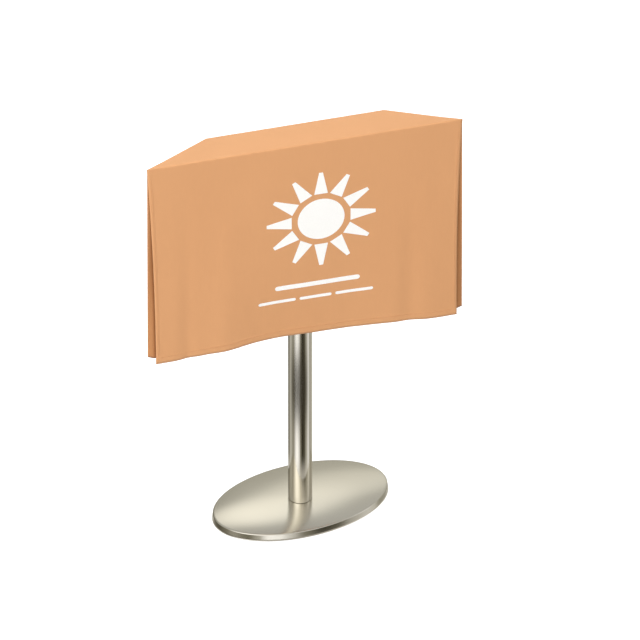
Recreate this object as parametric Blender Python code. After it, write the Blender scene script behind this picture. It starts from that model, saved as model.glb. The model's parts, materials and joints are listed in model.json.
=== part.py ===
"""Desk flag stand: an oval weighted base, a round post, a head that swivels and a cloth cover that lifts off.

Metres, +Z up. The origin is the centre of the base's underside, and the wide front of the head faces -Y.
"""

import math

import bmesh
import bpy

GAP = 0.0003  # clearance between pieces that touch or slide

# Base
BASE_LONG_RADIUS = 0.097
BASE_SHORT_RADIUS = 0.058
BASE_TURN = 9.5  # degrees that the base's long axis is turned from the head's, about the post
PLATE_THICK = 0.0078
PLATE_CROWN = 0.0008
CROWN_RINGS = 5
PLATE_EDGE = 0.0012
PAD_THICK = 0.0015
PAD_INSET = 0.004
PAD_HOLE_R = 0.009
OVAL_STEPS = 72

# Post and the bolt that holds it
POST_R = 0.0125
POST_WALL = 0.0015
POST_TOP = 0.444
PLUG_LENGTH = 0.030
BOLT_R = 0.004
BOLT_HEAD_R = 0.0065
BOLT_HEAD_THICK = 0.0034
BOLT_LENGTH = 0.0266
COUNTERBORE_R = 0.0075
COUNTERBORE_DEPTH = 0.005
WASHER_THICK = 0.0008
HEX_ACROSS_FLATS = 0.005
HEX_DEPTH = 0.002

# Head: a trapezoid in plan, measured over the cloth
COVER_TOP = 0.4717
HEAD_FRONT = 0.3355
HEAD_BACK = 0.189
HEAD_DEPTH = 0.038
BOARD_THICK = 0.006
RAIL_HEIGHT = 0.016
RAIL_THICK = 0.005

# Swivel
SHAFT_R = 0.006
SHAFT_BOTTOM = 0.392
COLLAR_R = 0.010
MOUNT_PLATE_X = 0.050
MOUNT_PLATE_Y = 0.020
MOUNT_PLATE_THICK = 0.004
MOUNT_PLATE_CORNER = 0.004
FLANGE_THICK = 0.002
THRUST_THICK = 0.001
UPPER_BUSH_LENGTH = 0.020
LOWER_BUSH_LENGTH = 0.012
RETAINER_R = 0.0095
RETAINER_THICK = 0.0015
RETAINER_SCREW_R = 0.0025
RETAINER_HEAD_R = 0.0042
RETAINER_HEAD_THICK = 0.004
RETAINER_REACH = 0.014

# Wood screws
SCREW_R = 0.00125
SCREW_HEAD_R = 0.0025
SCREW_HEAD_THICK = 0.0013
BOARD_SCREW_LENGTH = 0.016
FLANGE_SCREW_LENGTH = 0.0088
FLANGE_SCREW_X = 0.018
FLANGE_SCREW_Y = 0.0055

# Cloth and tape
CLOTH = 0.0008
TAPE = 0.0008
TAPE_HEIGHT = 0.012
TAPE_FRONT_HALF = 0.140
TAPE_BACK_HALF = 0.080
TAPE_SIDE_REACH = 0.0105
DROP = 0.237
FRONT_DROP = 0.2427
FRONT_LEAN = 0.005
FRONT_TUCK = 0.0078
RETURN_WIDTH = 0.018

# Heights that follow from these
PLATE_Z = PAD_THICK + GAP
PLATE_TOP = PLATE_Z + PLATE_THICK + PLATE_CROWN
POST_Z = PLATE_TOP + GAP
COUNTERBORE_TOP = PLATE_Z + COUNTERBORE_DEPTH
WASHER_Z = COUNTERBORE_TOP - GAP - WASHER_THICK
BOLT_HEAD_Z = WASHER_Z - GAP - BOLT_HEAD_THICK
BOARD_TOP = COVER_TOP - CLOTH - GAP
BOARD_Z = BOARD_TOP - BOARD_THICK
RAIL_TOP = BOARD_Z - GAP
RAIL_Z = RAIL_TOP - RAIL_HEIGHT
TAPE_Z = RAIL_Z + (RAIL_HEIGHT - TAPE_HEIGHT) / 2
MOUNT_PLATE_Z = RAIL_TOP - MOUNT_PLATE_THICK
FLANGE_Z = POST_TOP + GAP
THRUST_Z = FLANGE_Z + FLANGE_THICK + GAP
COLLAR_Z = THRUST_Z + THRUST_THICK + GAP
LOWER_BUSH_Z = SHAFT_BOTTOM + 2 * GAP
RETAINER_Z = SHAFT_BOTTOM - GAP - RETAINER_THICK
PANEL_TOP = COVER_TOP - CLOTH - GAP
HEM = COVER_TOP - DROP
FRONT_HEM = COVER_TOP - FRONT_DROP

# Distances inwards from the outside of the cloth, layer by layer
LOOP_INSET = CLOTH + GAP
HOOK_INSET = LOOP_INSET + TAPE + GAP
RAIL_INSET = HOOK_INSET + TAPE + GAP

SIDE_RUN = (HEAD_FRONT - HEAD_BACK) / 2 / HEAD_DEPTH  # how far a side comes in for each metre of depth
SIDE_SINE = 1 / math.hypot(1, SIDE_RUN)


def clear_scene():
    for obj in list(bpy.data.objects):
        bpy.data.objects.remove(obj, do_unlink=True)


def make_material(name, colour, roughness, metallic=0.0):
    material = bpy.data.materials.new(name)
    material.use_nodes = True
    shader = material.node_tree.nodes["Principled BSDF"]
    shader.inputs["Base Color"].default_value = (*colour, 1.0)
    shader.inputs["Roughness"].default_value = roughness
    shader.inputs["Metallic"].default_value = metallic
    return material


def make_empty(name, z):
    empty = bpy.data.objects.new(name, None)
    empty.location = (0.0, 0.0, z)
    bpy.context.scene.collection.objects.link(empty)
    return empty


def add_object(name, bm, material, parent, place):
    """Turns the bmesh into an object whose own zero is at place, given in world coordinates."""
    bmesh.ops.recalc_face_normals(bm, faces=bm.faces)
    mesh = bpy.data.meshes.new(name)
    bm.to_mesh(mesh)
    bm.free()
    mesh.shade_smooth()
    mesh.set_sharp_from_angle(angle=math.radians(35))
    if material:
        mesh.materials.append(material)
    obj = bpy.data.objects.new(name, mesh)
    bpy.context.scene.collection.objects.link(obj)
    offset = parent.location if parent else (0.0, 0.0, 0.0)
    obj.parent = parent
    obj.location = [place[i] - offset[i] for i in range(3)]
    return obj


def turned_bmesh(profile, steps, ring=False):
    """Spins (radius, height) points about Z. A ring's profile closes on itself; any other starts and ends on Z."""
    bm = bmesh.new()
    verts = [bm.verts.new((radius, 0.0, height)) for radius, height in profile]
    edges = [bm.edges.new(pair) for pair in zip(verts, verts[1:])]
    if ring:
        edges.append(bm.edges.new((verts[-1], verts[0])))
    bmesh.ops.spin(
        bm, geom=verts + edges, cent=(0, 0, 0), axis=(0, 0, 1), angle=math.tau, steps=steps, use_merge=True
    )
    bmesh.ops.remove_doubles(bm, verts=bm.verts, dist=1e-6)
    return bm


def turned(name, profile, material, parent, place, steps=32, ring=False):
    return add_object(name, turned_bmesh(profile, steps, ring), material, parent, place)


def disc(radius, height, base=0.0):
    return [(0.0, base), (radius, base), (radius, base + height), (0.0, base + height)]


def tube(outer, inner, height, base=0.0):
    return [(inner, base), (outer, base), (outer, base + height), (inner, base + height)]


def prism(name, outline, z, height, material, parent):
    """Extrudes a plan outline upwards from z."""
    bm = bmesh.new()
    face = bm.faces.new([bm.verts.new((x, y, 0.0)) for x, y in outline])
    grown = bmesh.ops.extrude_face_region(bm, geom=[face])
    tops = [item for item in grown["geom"] if isinstance(item, bmesh.types.BMVert)]
    bmesh.ops.translate(bm, vec=(0.0, 0.0, height), verts=tops)
    return add_object(name, bm, material, parent, (0.0, 0.0, z))


def oval(inset, share=1.0):
    """The base's outline, drawn in by inset and then shrunk to a share of its size."""
    turn = math.radians(BASE_TURN)
    points = []
    for step in range(OVAL_STEPS):
        angle = math.tau * step / OVAL_STEPS
        along = share * (BASE_LONG_RADIUS - inset) * math.cos(angle)
        across = share * (BASE_SHORT_RADIUS - inset) * math.sin(angle)
        points.append((
            along * math.cos(turn) - across * math.sin(turn),
            along * math.sin(turn) + across * math.cos(turn),
        ))
    return points


def rectangle(half_x, y0, y1):
    return [(-half_x, y0), (half_x, y0), (half_x, y1), (-half_x, y1)]


def half_width(y, inset):
    """Half the head's width at depth y, on a line moved inwards by inset, square to the slanting side."""
    return HEAD_FRONT / 2 - (y + HEAD_DEPTH / 2) * SIDE_RUN - inset / SIDE_SINE


def trapezoid(y0, y1, inset):
    near = half_width(y0, inset)
    far = half_width(y1, inset)
    return [(-near, y0), (near, y0), (far, y1), (-far, y1)]


def side_strip(side, y0, y1, outer, inner):
    """The plan of a strip along a slanting side, between two insets; side is -1 for left and 1 for right."""
    return [
        (side * half_width(y0, outer), y0),
        (side * half_width(y1, outer), y1),
        (side * half_width(y1, inner), y1),
        (side * half_width(y0, inner), y0),
    ]


def cut(obj, cutter, operation="DIFFERENCE"):
    cutter.hide_render = True
    cutter.display_type = "WIRE"
    boolean = obj.modifiers.new(cutter.name, "BOOLEAN")
    boolean.operation = operation
    boolean.solver = "EXACT"
    boolean.object = cutter


def hex_socket(obj, place, depth):
    """Sinks a hexagon socket upwards into the underside of a screw head."""
    radius = HEX_ACROSS_FLATS / 2 / math.cos(math.radians(30))
    bm = turned_bmesh(disc(radius, depth + GAP), 6)
    cut(obj, add_object(obj.name + "_socket", bm, None, None, (0.0, 0.0, place - GAP)))


def screw_profile(length, grown=0.0):
    """A countersunk screw that points down from its head's face at zero; grown makes its clearance hole."""
    head = SCREW_HEAD_R + grown
    shank = SCREW_R + grown
    top = GAP if grown else 0.0
    points = [(0.0, top), (head, top)]
    if grown:
        points.append((head, 0.0))
    points += [(shank, -SCREW_HEAD_THICK - grown), (shank, grown - length + SCREW_R), (0.0, -length - grown)]
    return points


def wood_screw(name, place, length, up, material, parent, receivers):
    """A screw, with a clearance hole in everything that it goes through. It points down unless up is set."""
    bm = turned_bmesh(screw_profile(length), 12)
    hole = turned_bmesh(screw_profile(length, GAP), 12)
    if up:
        for part in (bm, hole):
            bmesh.ops.scale(part, vec=(1.0, 1.0, -1.0), verts=part.verts)
    screw = add_object(name, bm, material, parent, place)
    cutter = add_object(name + "_hole", hole, None, None, place)
    for receiver in receivers:
        cut(receiver, cutter)
    return screw


def crowned_plate(material, parent):
    """The base plate: a flat underside, an upright rim and a top that rises gently towards the post."""
    bm = bmesh.new()
    rim = [bm.verts.new((x, y, 0.0)) for x, y in oval(0.0)]
    bm.faces.new(rim)
    levels = [(1.0, PLATE_THICK)]
    for ring in range(1, CROWN_RINGS):
        share = 1.0 - ring / CROWN_RINGS
        levels.append((share, PLATE_THICK + PLATE_CROWN * (1.0 - share**2)))
    for share, height in levels:
        inner = [bm.verts.new((x, y, height)) for x, y in oval(0.0, share)]
        for i in range(OVAL_STEPS):
            j = (i + 1) % OVAL_STEPS
            bm.faces.new((rim[i], rim[j], inner[j], inner[i]))
        rim = inner
    middle = bm.verts.new((0.0, 0.0, PLATE_THICK + PLATE_CROWN))
    for i in range(OVAL_STEPS):
        bm.faces.new((rim[i], rim[(i + 1) % OVAL_STEPS], middle))
    return add_object("base_plate", bm, material, parent, (0.0, 0.0, PLATE_Z))


def build_base(parent, steel, nickel, rubber):
    plate = crowned_plate(nickel, parent)
    bevel = plate.modifiers.new("rounded_rim", "BEVEL")
    bevel.width = PLATE_EDGE
    bevel.segments = 3
    bevel.limit_method = "ANGLE"
    bore = BOLT_R + 2 * GAP
    steps = [
        (0.0, -GAP),
        (COUNTERBORE_R, -GAP),
        (COUNTERBORE_R, COUNTERBORE_DEPTH),
        (bore, COUNTERBORE_DEPTH),
        (bore, PLATE_THICK + PLATE_CROWN + GAP),
        (0.0, PLATE_THICK + PLATE_CROWN + GAP),
    ]
    cut(plate, turned("bolt_hole", steps, None, None, (0.0, 0.0, PLATE_Z)))

    pad = prism("base_pad", oval(PAD_INSET), 0.0, PAD_THICK, rubber, parent)
    through = disc(PAD_HOLE_R, PAD_THICK + 2 * GAP, -GAP)
    cut(pad, turned("pad_hole", through, None, None, (0.0, 0.0, 0.0)))

    washer = tube(COUNTERBORE_R - GAP, BOLT_R + GAP, WASHER_THICK)
    turned("post_washer", washer, steel, parent, (0.0, 0.0, WASHER_Z), ring=True)
    bolt_profile = [
        (0.0, 0.0),
        (BOLT_HEAD_R, 0.0),
        (BOLT_HEAD_R, BOLT_HEAD_THICK),
        (BOLT_R, BOLT_HEAD_THICK),
        (BOLT_R, BOLT_HEAD_THICK + BOLT_LENGTH),
        (0.0, BOLT_HEAD_THICK + BOLT_LENGTH),
    ]
    bolt = turned("post_bolt", bolt_profile, steel, parent, (0.0, 0.0, BOLT_HEAD_Z))
    hex_socket(bolt, BOLT_HEAD_Z, HEX_DEPTH)


def build_post(parent, steel, polished, plastic):
    inner = POST_R - POST_WALL
    turned("post", tube(POST_R, inner, POST_TOP - POST_Z), polished, parent, (0.0, 0.0, POST_Z), 48, ring=True)
    plug = tube(inner - GAP, BOLT_R + GAP, PLUG_LENGTH)
    turned("post_plug", plug, steel, parent, (0.0, 0.0, POST_Z), ring=True)

    bore = SHAFT_R + GAP
    sleeve = inner - GAP
    flanged = [
        (bore, -UPPER_BUSH_LENGTH),
        (sleeve, -UPPER_BUSH_LENGTH),
        (sleeve, 0.0),
        (POST_R - GAP, 0.0),
        (POST_R - GAP, FLANGE_THICK),
        (bore, FLANGE_THICK),
    ]
    turned("upper_bush", flanged, plastic, parent, (0.0, 0.0, FLANGE_Z), ring=True)
    lower = tube(sleeve, bore, LOWER_BUSH_LENGTH)
    turned("lower_bush", lower, plastic, parent, (0.0, 0.0, LOWER_BUSH_Z), ring=True)
    thrust = tube(COLLAR_R + GAP, bore, THRUST_THICK)
    turned("thrust_washer", thrust, plastic, parent, (0.0, 0.0, THRUST_Z), ring=True)


def build_spindle(parent, steel):
    """The swivel's shaft and collar, joined to the plate that carries the board."""
    bore = RETAINER_SCREW_R + GAP
    bore_depth = RETAINER_REACH + 2 * GAP
    shaft_profile = [
        (0.0, bore_depth),
        (bore, bore_depth),
        (bore, 0.0),
        (SHAFT_R, 0.0),
        (SHAFT_R, COLLAR_Z - SHAFT_BOTTOM),
        (COLLAR_R, COLLAR_Z - SHAFT_BOTTOM),
        (COLLAR_R, MOUNT_PLATE_Z + MOUNT_PLATE_THICK / 2 - SHAFT_BOTTOM),
        (0.0, MOUNT_PLATE_Z + MOUNT_PLATE_THICK / 2 - SHAFT_BOTTOM),
    ]
    spindle = turned("swivel_spindle", shaft_profile, steel, parent, (0.0, 0.0, SHAFT_BOTTOM))
    bm = bmesh.new()
    bmesh.ops.create_cube(bm, size=1.0)
    bmesh.ops.scale(bm, vec=(MOUNT_PLATE_X, MOUNT_PLATE_Y, MOUNT_PLATE_THICK), verts=bm.verts)
    upright = [e for e in bm.edges if abs(e.verts[0].co.z - e.verts[1].co.z) > MOUNT_PLATE_THICK / 2]
    bmesh.ops.bevel(bm, geom=upright, offset=MOUNT_PLATE_CORNER, segments=3, affect="EDGES", profile=0.5)
    middle = MOUNT_PLATE_Z + MOUNT_PLATE_THICK / 2
    cut(spindle, add_object("mount_plate", bm, None, None, (0.0, 0.0, middle)), "UNION")

    washer = tube(RETAINER_R, RETAINER_SCREW_R + GAP, RETAINER_THICK)
    turned("retaining_washer", washer, steel, parent, (0.0, 0.0, RETAINER_Z), ring=True)
    head_z = RETAINER_Z - GAP - RETAINER_HEAD_THICK
    shank_top = SHAFT_BOTTOM + RETAINER_REACH - head_z
    screw_points = [
        (0.0, 0.0),
        (RETAINER_HEAD_R, 0.0),
        (RETAINER_HEAD_R, RETAINER_HEAD_THICK),
        (RETAINER_SCREW_R, RETAINER_HEAD_THICK),
        (RETAINER_SCREW_R, shank_top),
        (0.0, shank_top),
    ]
    screw = turned("retaining_screw", screw_points, steel, parent, (0.0, 0.0, head_z), 24)
    hex_socket(screw, head_z, HEX_DEPTH)
    return spindle


def build_head(parent, wood, steel, tape_material):
    spindle = build_spindle(parent, steel)
    board_edge = HEAD_DEPTH / 2 - HOOK_INSET
    board_plan = trapezoid(-board_edge, board_edge, HOOK_INSET)
    board = prism("top_board", board_plan, BOARD_Z, BOARD_THICK, wood, parent)

    rail_outer = HEAD_DEPTH / 2 - RAIL_INSET
    rail_inner = rail_outer - RAIL_THICK
    front_plan = trapezoid(-rail_outer, -rail_inner, RAIL_INSET)
    back_plan = trapezoid(rail_inner, rail_outer, RAIL_INSET)
    front = prism("front_rail", front_plan, RAIL_Z, RAIL_HEIGHT, wood, parent)
    back = prism("back_rail", back_plan, RAIL_Z, RAIL_HEIGHT, wood, parent)
    sides = {}
    for side, word in ((-1, "left"), (1, "right")):
        reach = rail_inner - GAP
        plan = side_strip(side, -reach, reach, RAIL_INSET, RAIL_INSET + RAIL_THICK)
        sides[side] = prism(word + "_rail", plan, RAIL_Z, RAIL_HEIGHT, wood, parent)

    rail_middle = rail_outer - RAIL_THICK / 2
    side_middle = half_width(0.0, RAIL_INSET + RAIL_THICK / 2)
    screws = [(x, -rail_middle, front) for x in (-0.115, 0.0, 0.115)]
    screws += [(x, rail_middle, back) for x in (-0.060, 0.060)]
    screws += [(side * side_middle, 0.0, sides[side]) for side in (-1, 1)]
    for number, (x, y, rail) in enumerate(screws, 1):
        name = f"board_screw_{number}"
        wood_screw(name, (x, y, BOARD_TOP), BOARD_SCREW_LENGTH, False, steel, parent, (board, rail))

    corners = [(x, y) for x in (-FLANGE_SCREW_X, FLANGE_SCREW_X) for y in (-FLANGE_SCREW_Y, FLANGE_SCREW_Y)]
    for number, (x, y) in enumerate(corners, 1):
        name = f"flange_screw_{number}"
        place = (x, y, MOUNT_PLATE_Z)
        wood_screw(name, place, FLANGE_SCREW_LENGTH, True, steel, parent, (spindle, board))

    add_tape("hook_tape", HOOK_INSET, tape_material, parent)


def add_tape(kind, inset, material, parent):
    """Four strips of tape, one along each side of the head, whose outer faces are inset from the cloth's."""
    outer = HEAD_DEPTH / 2 - inset
    inner = outer - TAPE
    plans = {
        "front": rectangle(TAPE_FRONT_HALF, -outer, -inner),
        "back": rectangle(TAPE_BACK_HALF, inner, outer),
        "left": side_strip(-1, -TAPE_SIDE_REACH, TAPE_SIDE_REACH, inset, inset + TAPE),
        "right": side_strip(1, -TAPE_SIDE_REACH, TAPE_SIDE_REACH, inset, inset + TAPE),
    }
    for word, plan in plans.items():
        prism(f"{kind}_{word}", plan, TAPE_Z, TAPE_HEIGHT, material, parent)


def build_front_panel(cloth, parent):
    """The front of the cover: it leans forward a little and narrows towards its hem."""
    height = PANEL_TOP - FRONT_HEM
    bm = bmesh.new()
    bmesh.ops.create_cube(bm, size=1.0)
    bmesh.ops.scale(bm, vec=(HEAD_FRONT, CLOTH, height), verts=bm.verts)
    bmesh.ops.translate(bm, vec=(0.0, CLOTH / 2 - HEAD_DEPTH / 2, height / 2), verts=bm.verts)
    for vert in bm.verts:
        if vert.co.z < height / 2:
            vert.co.y -= FRONT_LEAN
            vert.co.x -= math.copysign(FRONT_TUCK, vert.co.x)
    add_object("cover_front", bm, cloth, parent, (0.0, 0.0, FRONT_HEM))


def build_cover(parent, cloth, tape_material):
    outside = HEAD_DEPTH / 2
    prism("cover_top", trapezoid(-outside, outside, 0.0), COVER_TOP - CLOTH, CLOTH, cloth, parent)
    build_front_panel(cloth, parent)
    back_inner = outside - CLOTH
    panel_height = PANEL_TOP - HEM
    back_plan = rectangle(HEAD_BACK / 2, back_inner, outside)
    prism("cover_back", back_plan, HEM, panel_height, cloth, parent)

    return_outer = outside - CLOTH - GAP
    return_inner = return_outer - CLOTH
    for side, word in ((-1, "left"), (1, "right")):
        plan = side_strip(side, GAP - return_inner, back_inner - GAP, 0.0, CLOTH)
        prism(f"cover_{word}", plan, HEM, panel_height, cloth, parent)
        edge = half_width(-return_inner, 0.0)
        flap = [
            (side * edge, -return_outer),
            (side * (edge - RETURN_WIDTH), -return_outer),
            (side * (edge - RETURN_WIDTH), -return_inner),
            (side * edge, -return_inner),
        ]
        prism(f"corner_return_{word}", flap, HEM, panel_height, cloth, parent)
    add_tape("loop_tape", LOOP_INSET, tape_material, parent)


def main():
    clear_scene()
    nickel = make_material("satin_nickel", (0.58, 0.53, 0.46), 0.28, 1.0)
    polished = make_material("polished_nickel", (0.66, 0.62, 0.56), 0.16, 1.0)
    steel = make_material("zinc_plated_steel", (0.52, 0.52, 0.52), 0.4, 1.0)
    rubber = make_material("foam_rubber", (0.03, 0.03, 0.03), 0.9)
    plastic = make_material("acetal", (0.75, 0.75, 0.72), 0.45)
    wood = make_material("beech_plywood", (0.62, 0.44, 0.27), 0.6)
    tape_material = make_material("hook_and_loop_tape", (0.72, 0.42, 0.23), 0.95)
    cloth = make_material("peach_cloth", (0.79, 0.43, 0.20), 0.9)

    base_empty = make_empty("base_axis", 0.0)
    head_empty = make_empty("head_axis", COLLAR_Z)
    cover_empty = make_empty("cover_axis", COLLAR_Z)
    build_base(base_empty, steel, nickel, rubber)
    build_post(base_empty, steel, polished, plastic)
    build_head(head_empty, wood, steel, tape_material)
    build_cover(cover_empty, cloth, tape_material)


main()
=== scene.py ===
"""The looks of the desk flag stand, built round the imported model.

The cover is two sheets of cloth with stitching and a plain print. The post and the base plate are remade with
eased edges. Every other CAD piece takes a material, and the studio is plain and pale. Lengths are in metres.
"""

import json
import math

import bmesh
import bpy
import numpy as np
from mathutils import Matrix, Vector, noise


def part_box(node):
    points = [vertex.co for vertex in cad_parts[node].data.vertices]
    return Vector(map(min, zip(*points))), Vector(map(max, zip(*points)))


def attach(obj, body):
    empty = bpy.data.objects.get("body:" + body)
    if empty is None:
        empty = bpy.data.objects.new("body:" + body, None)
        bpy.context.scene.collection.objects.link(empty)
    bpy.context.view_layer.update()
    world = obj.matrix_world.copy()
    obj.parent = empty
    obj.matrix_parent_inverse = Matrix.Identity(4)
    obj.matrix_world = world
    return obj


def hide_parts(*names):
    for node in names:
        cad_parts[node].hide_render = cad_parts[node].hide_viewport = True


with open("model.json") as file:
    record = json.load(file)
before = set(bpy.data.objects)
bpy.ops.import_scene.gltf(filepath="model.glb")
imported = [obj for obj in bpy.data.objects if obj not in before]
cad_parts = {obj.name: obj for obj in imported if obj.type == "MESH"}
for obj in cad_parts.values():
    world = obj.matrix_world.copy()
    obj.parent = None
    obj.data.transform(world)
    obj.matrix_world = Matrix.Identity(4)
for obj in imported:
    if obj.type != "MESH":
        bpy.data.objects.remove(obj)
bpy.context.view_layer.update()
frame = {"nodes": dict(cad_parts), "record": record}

MM = 0.001

# Places read from the frame: the cover is the same on both sides of X = 0, with its wide front towards -Y
TOP_LOW, TOP_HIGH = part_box("cover_top")
FRONT_HALF, BACK_HALF = TOP_HIGH.x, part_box("cover_back")[1].x
FRONT_Y, BACK_Y = TOP_LOW.y, TOP_HIGH.y
TOP_Z = TOP_HIGH.z
HEM_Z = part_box("cover_left")[0].z
CORNER_HEM_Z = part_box("cover_front")[0].z
DEPTH = BACK_Y - FRONT_Y
DROP = TOP_Z - HEM_Z
SIDE_LENGTH = math.hypot(FRONT_HALF - BACK_HALF, DEPTH)
SIDE_RUN = (FRONT_HALF - BACK_HALF) / DEPTH
POST_LOW, POST_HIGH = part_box("post")
PLATE_LOW, PLATE_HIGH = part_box("base_plate")

# Cloth: its thickness, the folds round the head's edges, the hems and the seam under the top
CLOTH = 0.6 * MM
FOLD_R = 1.1 * MM
FRONT_FOLD_R = 1.6 * MM
CORNER_FOLD_R = 0.4 * MM
HEM_BAND = 9 * MM
SIDE_BAND = 5 * MM
HEM_RIDGE = 0.1 * MM
HEM_EASE = 0.4 * MM
SEAM = 3 * MM
SEAM_CLEAR = 15 * MM

# Fineness of the two sheets, with more rows and columns close to hems and folds, and the angle of a hard edge
CANOPY_COLUMNS = 141
TOP_ROWS = 14
FRONT_ROWS = 90
SKIRT_COLUMNS = 200
SKIRT_ROWS = 80
HEM_DETAIL = 0.5 * MM
FOLD_DETAIL = 1.2 * MM
SHARP_ANGLE = math.radians(50)

# Top: how far its edges roll down, over what width and how far from the front, and its shallow dimples
ROLL = 0.55 * MM
ROLL_WIDTH = 1.6 * MM
ROLL_CLEAR = 9 * MM
DIMPLE = 0.16 * MM
DIMPLE_SIZE = (40 * MM, 30 * MM)

# Front panel: it swings forward and hangs lower towards its corners, and is drawn in at its sides
FLARE = 6.0 * MM
FLARE_ZONE = (20 * MM, 150 * MM)
RIGHT_FLARE = 0.8
SWELL_PLACE, SWELL_WIDTH, SWELL_SHARE = -82 * MM, 18 * MM, 0.17
CORNER_SAG = 4.2 * MM
LEAN = 1.2 * MM
TUCK = 7.1 * MM
# Its upright folds: place, width and height at the hem
FRONT_FOLDS = (
    (-127 * MM, 9 * MM, -1.5 * MM),
    (-86 * MM, 14 * MM, 0.8 * MM),
    (112 * MM, 10 * MM, -1.4 * MM),
)

# Waves and ripples of the hanging cloth: heights, and the sizes of the pattern across and down
WAVE_SIZE = (55 * MM, 160 * MM)
WAVE_DROP = 200 * MM
FRONT_WAVE = 0.9 * MM
FRONT_HEM_WAVE = 0.4 * MM
FRONT_RIPPLE = 0.22 * MM
FRONT_RIPPLE_SIZE = 18 * MM
SKIRT_SWING = (1.6 * MM, 2.4 * MM)
SKIRT_SWING_SIZE = 45 * MM
SKIRT_SWING_CLEAR = 22 * MM
SKIRT_RIPPLE = 0.2 * MM
SKIRT_RIPPLE_SIZE = 16 * MM
SKIRT_HEM_WAVE = 0.8 * MM

# Skirt: its flat lengths from the left return to the right one, and its four folds
RETURN_WIDTH = 20 * MM
SKIRT_LENGTHS = (RETURN_WIDTH, SIDE_LENGTH, 2 * BACK_HALF, SIDE_LENGTH, RETURN_WIDTH)
SKIRT_FOLDS = [sum(SKIRT_LENGTHS[: i + 1]) for i in range(4)]
# Returns: the distance over which they turn in, how far behind the front panel they hang, the most they take
# of the room inside the slanting side, and how far in from the corner they start at the top
RETURN_TURN = 6.2 * MM
RETURN_BEHIND = 3.4 * MM
RETURN_INSIDE = 0.5
RETURN_START = (0.3 * MM, 0.5 * MM)

# Stitches: HEM_STITCH and SIDE_STITCH are their distances from the inner border of a hem's band
STITCH_PITCH = 3.2 * MM
STITCH_LENGTH = 2.3 * MM
STITCH_R = 0.18 * MM
STITCH_LIFT = 0.1 * MM
HEM_STITCH = 1.6 * MM
SIDE_STITCH = 1.4 * MM
STITCH_CLEAR = 2 * MM
# Place along a stitch from -1 to 1, and its thickness there
STITCH_SHAPE = ((-1.0, 0.25), (-0.7, 0.85), (0.0, 1.0), (0.7, 0.85), (1.0, 0.25))
STITCH_SIDES = 6

# Print, in flat coordinates across and down from the middle of the front fold: the sunburst's place and
# radius, and shares of that radius
SUN = (17 * MM, 95 * MM, 58 * MM)
SUN_RAYS = 12
SUN_SIDES = 72
SUN_DISC = 0.43
RAY_START, RAY_WIDE, RAY_NARROW = 0.54, 0.125, 0.035
# Bars: place across, place down, length and height
BARS = (
    (13 * MM, 175 * MM, 90 * MM, 5.5 * MM),
    (-30 * MM, 191.5 * MM, 40 * MM, 3.6 * MM),
    (11 * MM, 191.5 * MM, 34 * MM, 3.6 * MM),
    (52 * MM, 191.5 * MM, 40 * MM, 3.6 * MM),
)
PRINT_STEP = 3 * MM
PRINT_LIFT = 0.16 * MM

# Post
WALL = 1.5 * MM
POST_EASE = 0.35 * MM
POST_SIDES = 192

# Base plate: its rim leans in by RIM_DRAFT up to a rounded edge, and its top is slightly crowned
BASE_TURN = math.radians(9.5)
OVAL_SIDES = 256
CROWN = 0.8 * MM
RIM_DRAFT = 0.85 * MM
LOWER_EDGE_R = 0.6 * MM
UPPER_EDGE_R = 1.1 * MM
UNDERSIDE = 12 * MM
BORE_R = 4.6 * MM
COUNTERBORE_R = 7.5 * MM
COUNTERBORE_DEPTH = 5 * MM
# Faces whose normal rises less than this take the rim's polish
RIM_SLOPE = 0.9

# Colours: a light and a dark one where the surface varies, and tints of painted shade that multiply the
# cloth's own
PEACH = ((0.708, 0.360, 0.170), (0.678, 0.343, 0.161))
THREAD = (0.70, 0.355, 0.163)
INK = ((0.99, 0.985, 0.98), (0.95, 0.945, 0.935))
NICKEL = ((0.80, 0.765, 0.685), (0.76, 0.72, 0.64))
SATIN_NICKEL = ((0.84, 0.81, 0.72), (0.78, 0.745, 0.65))
ZINC = ((0.66, 0.66, 0.65), (0.52, 0.52, 0.51))
BIRCH = ((0.60, 0.42, 0.25), (0.36, 0.215, 0.11))
TAPE = (0.62, 0.34, 0.18)
FOAM = ((0.035, 0.035, 0.035), (0.015, 0.015, 0.015))
ACETAL = ((0.74, 0.74, 0.71), (0.66, 0.66, 0.63))
# Painted shade on the lower part of the returns, in place of the front panel's shadow
RETURN_SHADE_TINT = (0.76, 0.68, 0.60)
# Painted shade deep in the cloth's creases, from an occlusion node
CREASE_SHADE_TINT = (0.50, 0.39, 0.27)

# Surface detail: the weave, the reach of the painted shade in creases, and how far the satin plate seems to
# fall away
WEAVE_PITCH = 0.42 * MM
WEAVE_HEIGHT = 0.05 * MM
CREASE_REACH = 14 * MM
DOME = 2.6 * MM

# Camera: the AIM values are its target along its own right, up and backward directions
VIEW_TURN = math.radians(15.5)
VIEW_RISE = math.radians(36.0)
CAMERA_DISTANCE = 27.435
CAMERA_LENS = 1500
CAMERA_CLIP = 100
AIM_RIGHT = 0.0205
AIM_UP = 0.1911
AIM_BACK = 0.16

# Floor
FLOOR_REACH = 12.0
FLOOR_GREY = 0.5
FLOOR_GLOW = 0.85

# Cards that only the metal sees: SPAN is in degrees from the camera's own direction, SHADE is the alpha
WARM_WHITE = (1.0, 0.97, 0.9)
DARK_CARD_R = 0.6
DARK_CARD_SPAN = (-115, 95)
DARK_CARD_HEIGHT = (-0.328, -0.214)
DARK_CARD_SHADE = (1.5, 0.93)
DARK_CARD_GLOW = ((1.0, 0.85, 0.6), 0.04)
PALE_CARD_R = (0.085, 0.152)
PALE_CARD_Z = -0.035
PALE_CARD_SHADE = 0.62
PALE_CARD_FADE = 0.6
PALE_CARD_GLOW = (WARM_WHITE, 0.78)

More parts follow.
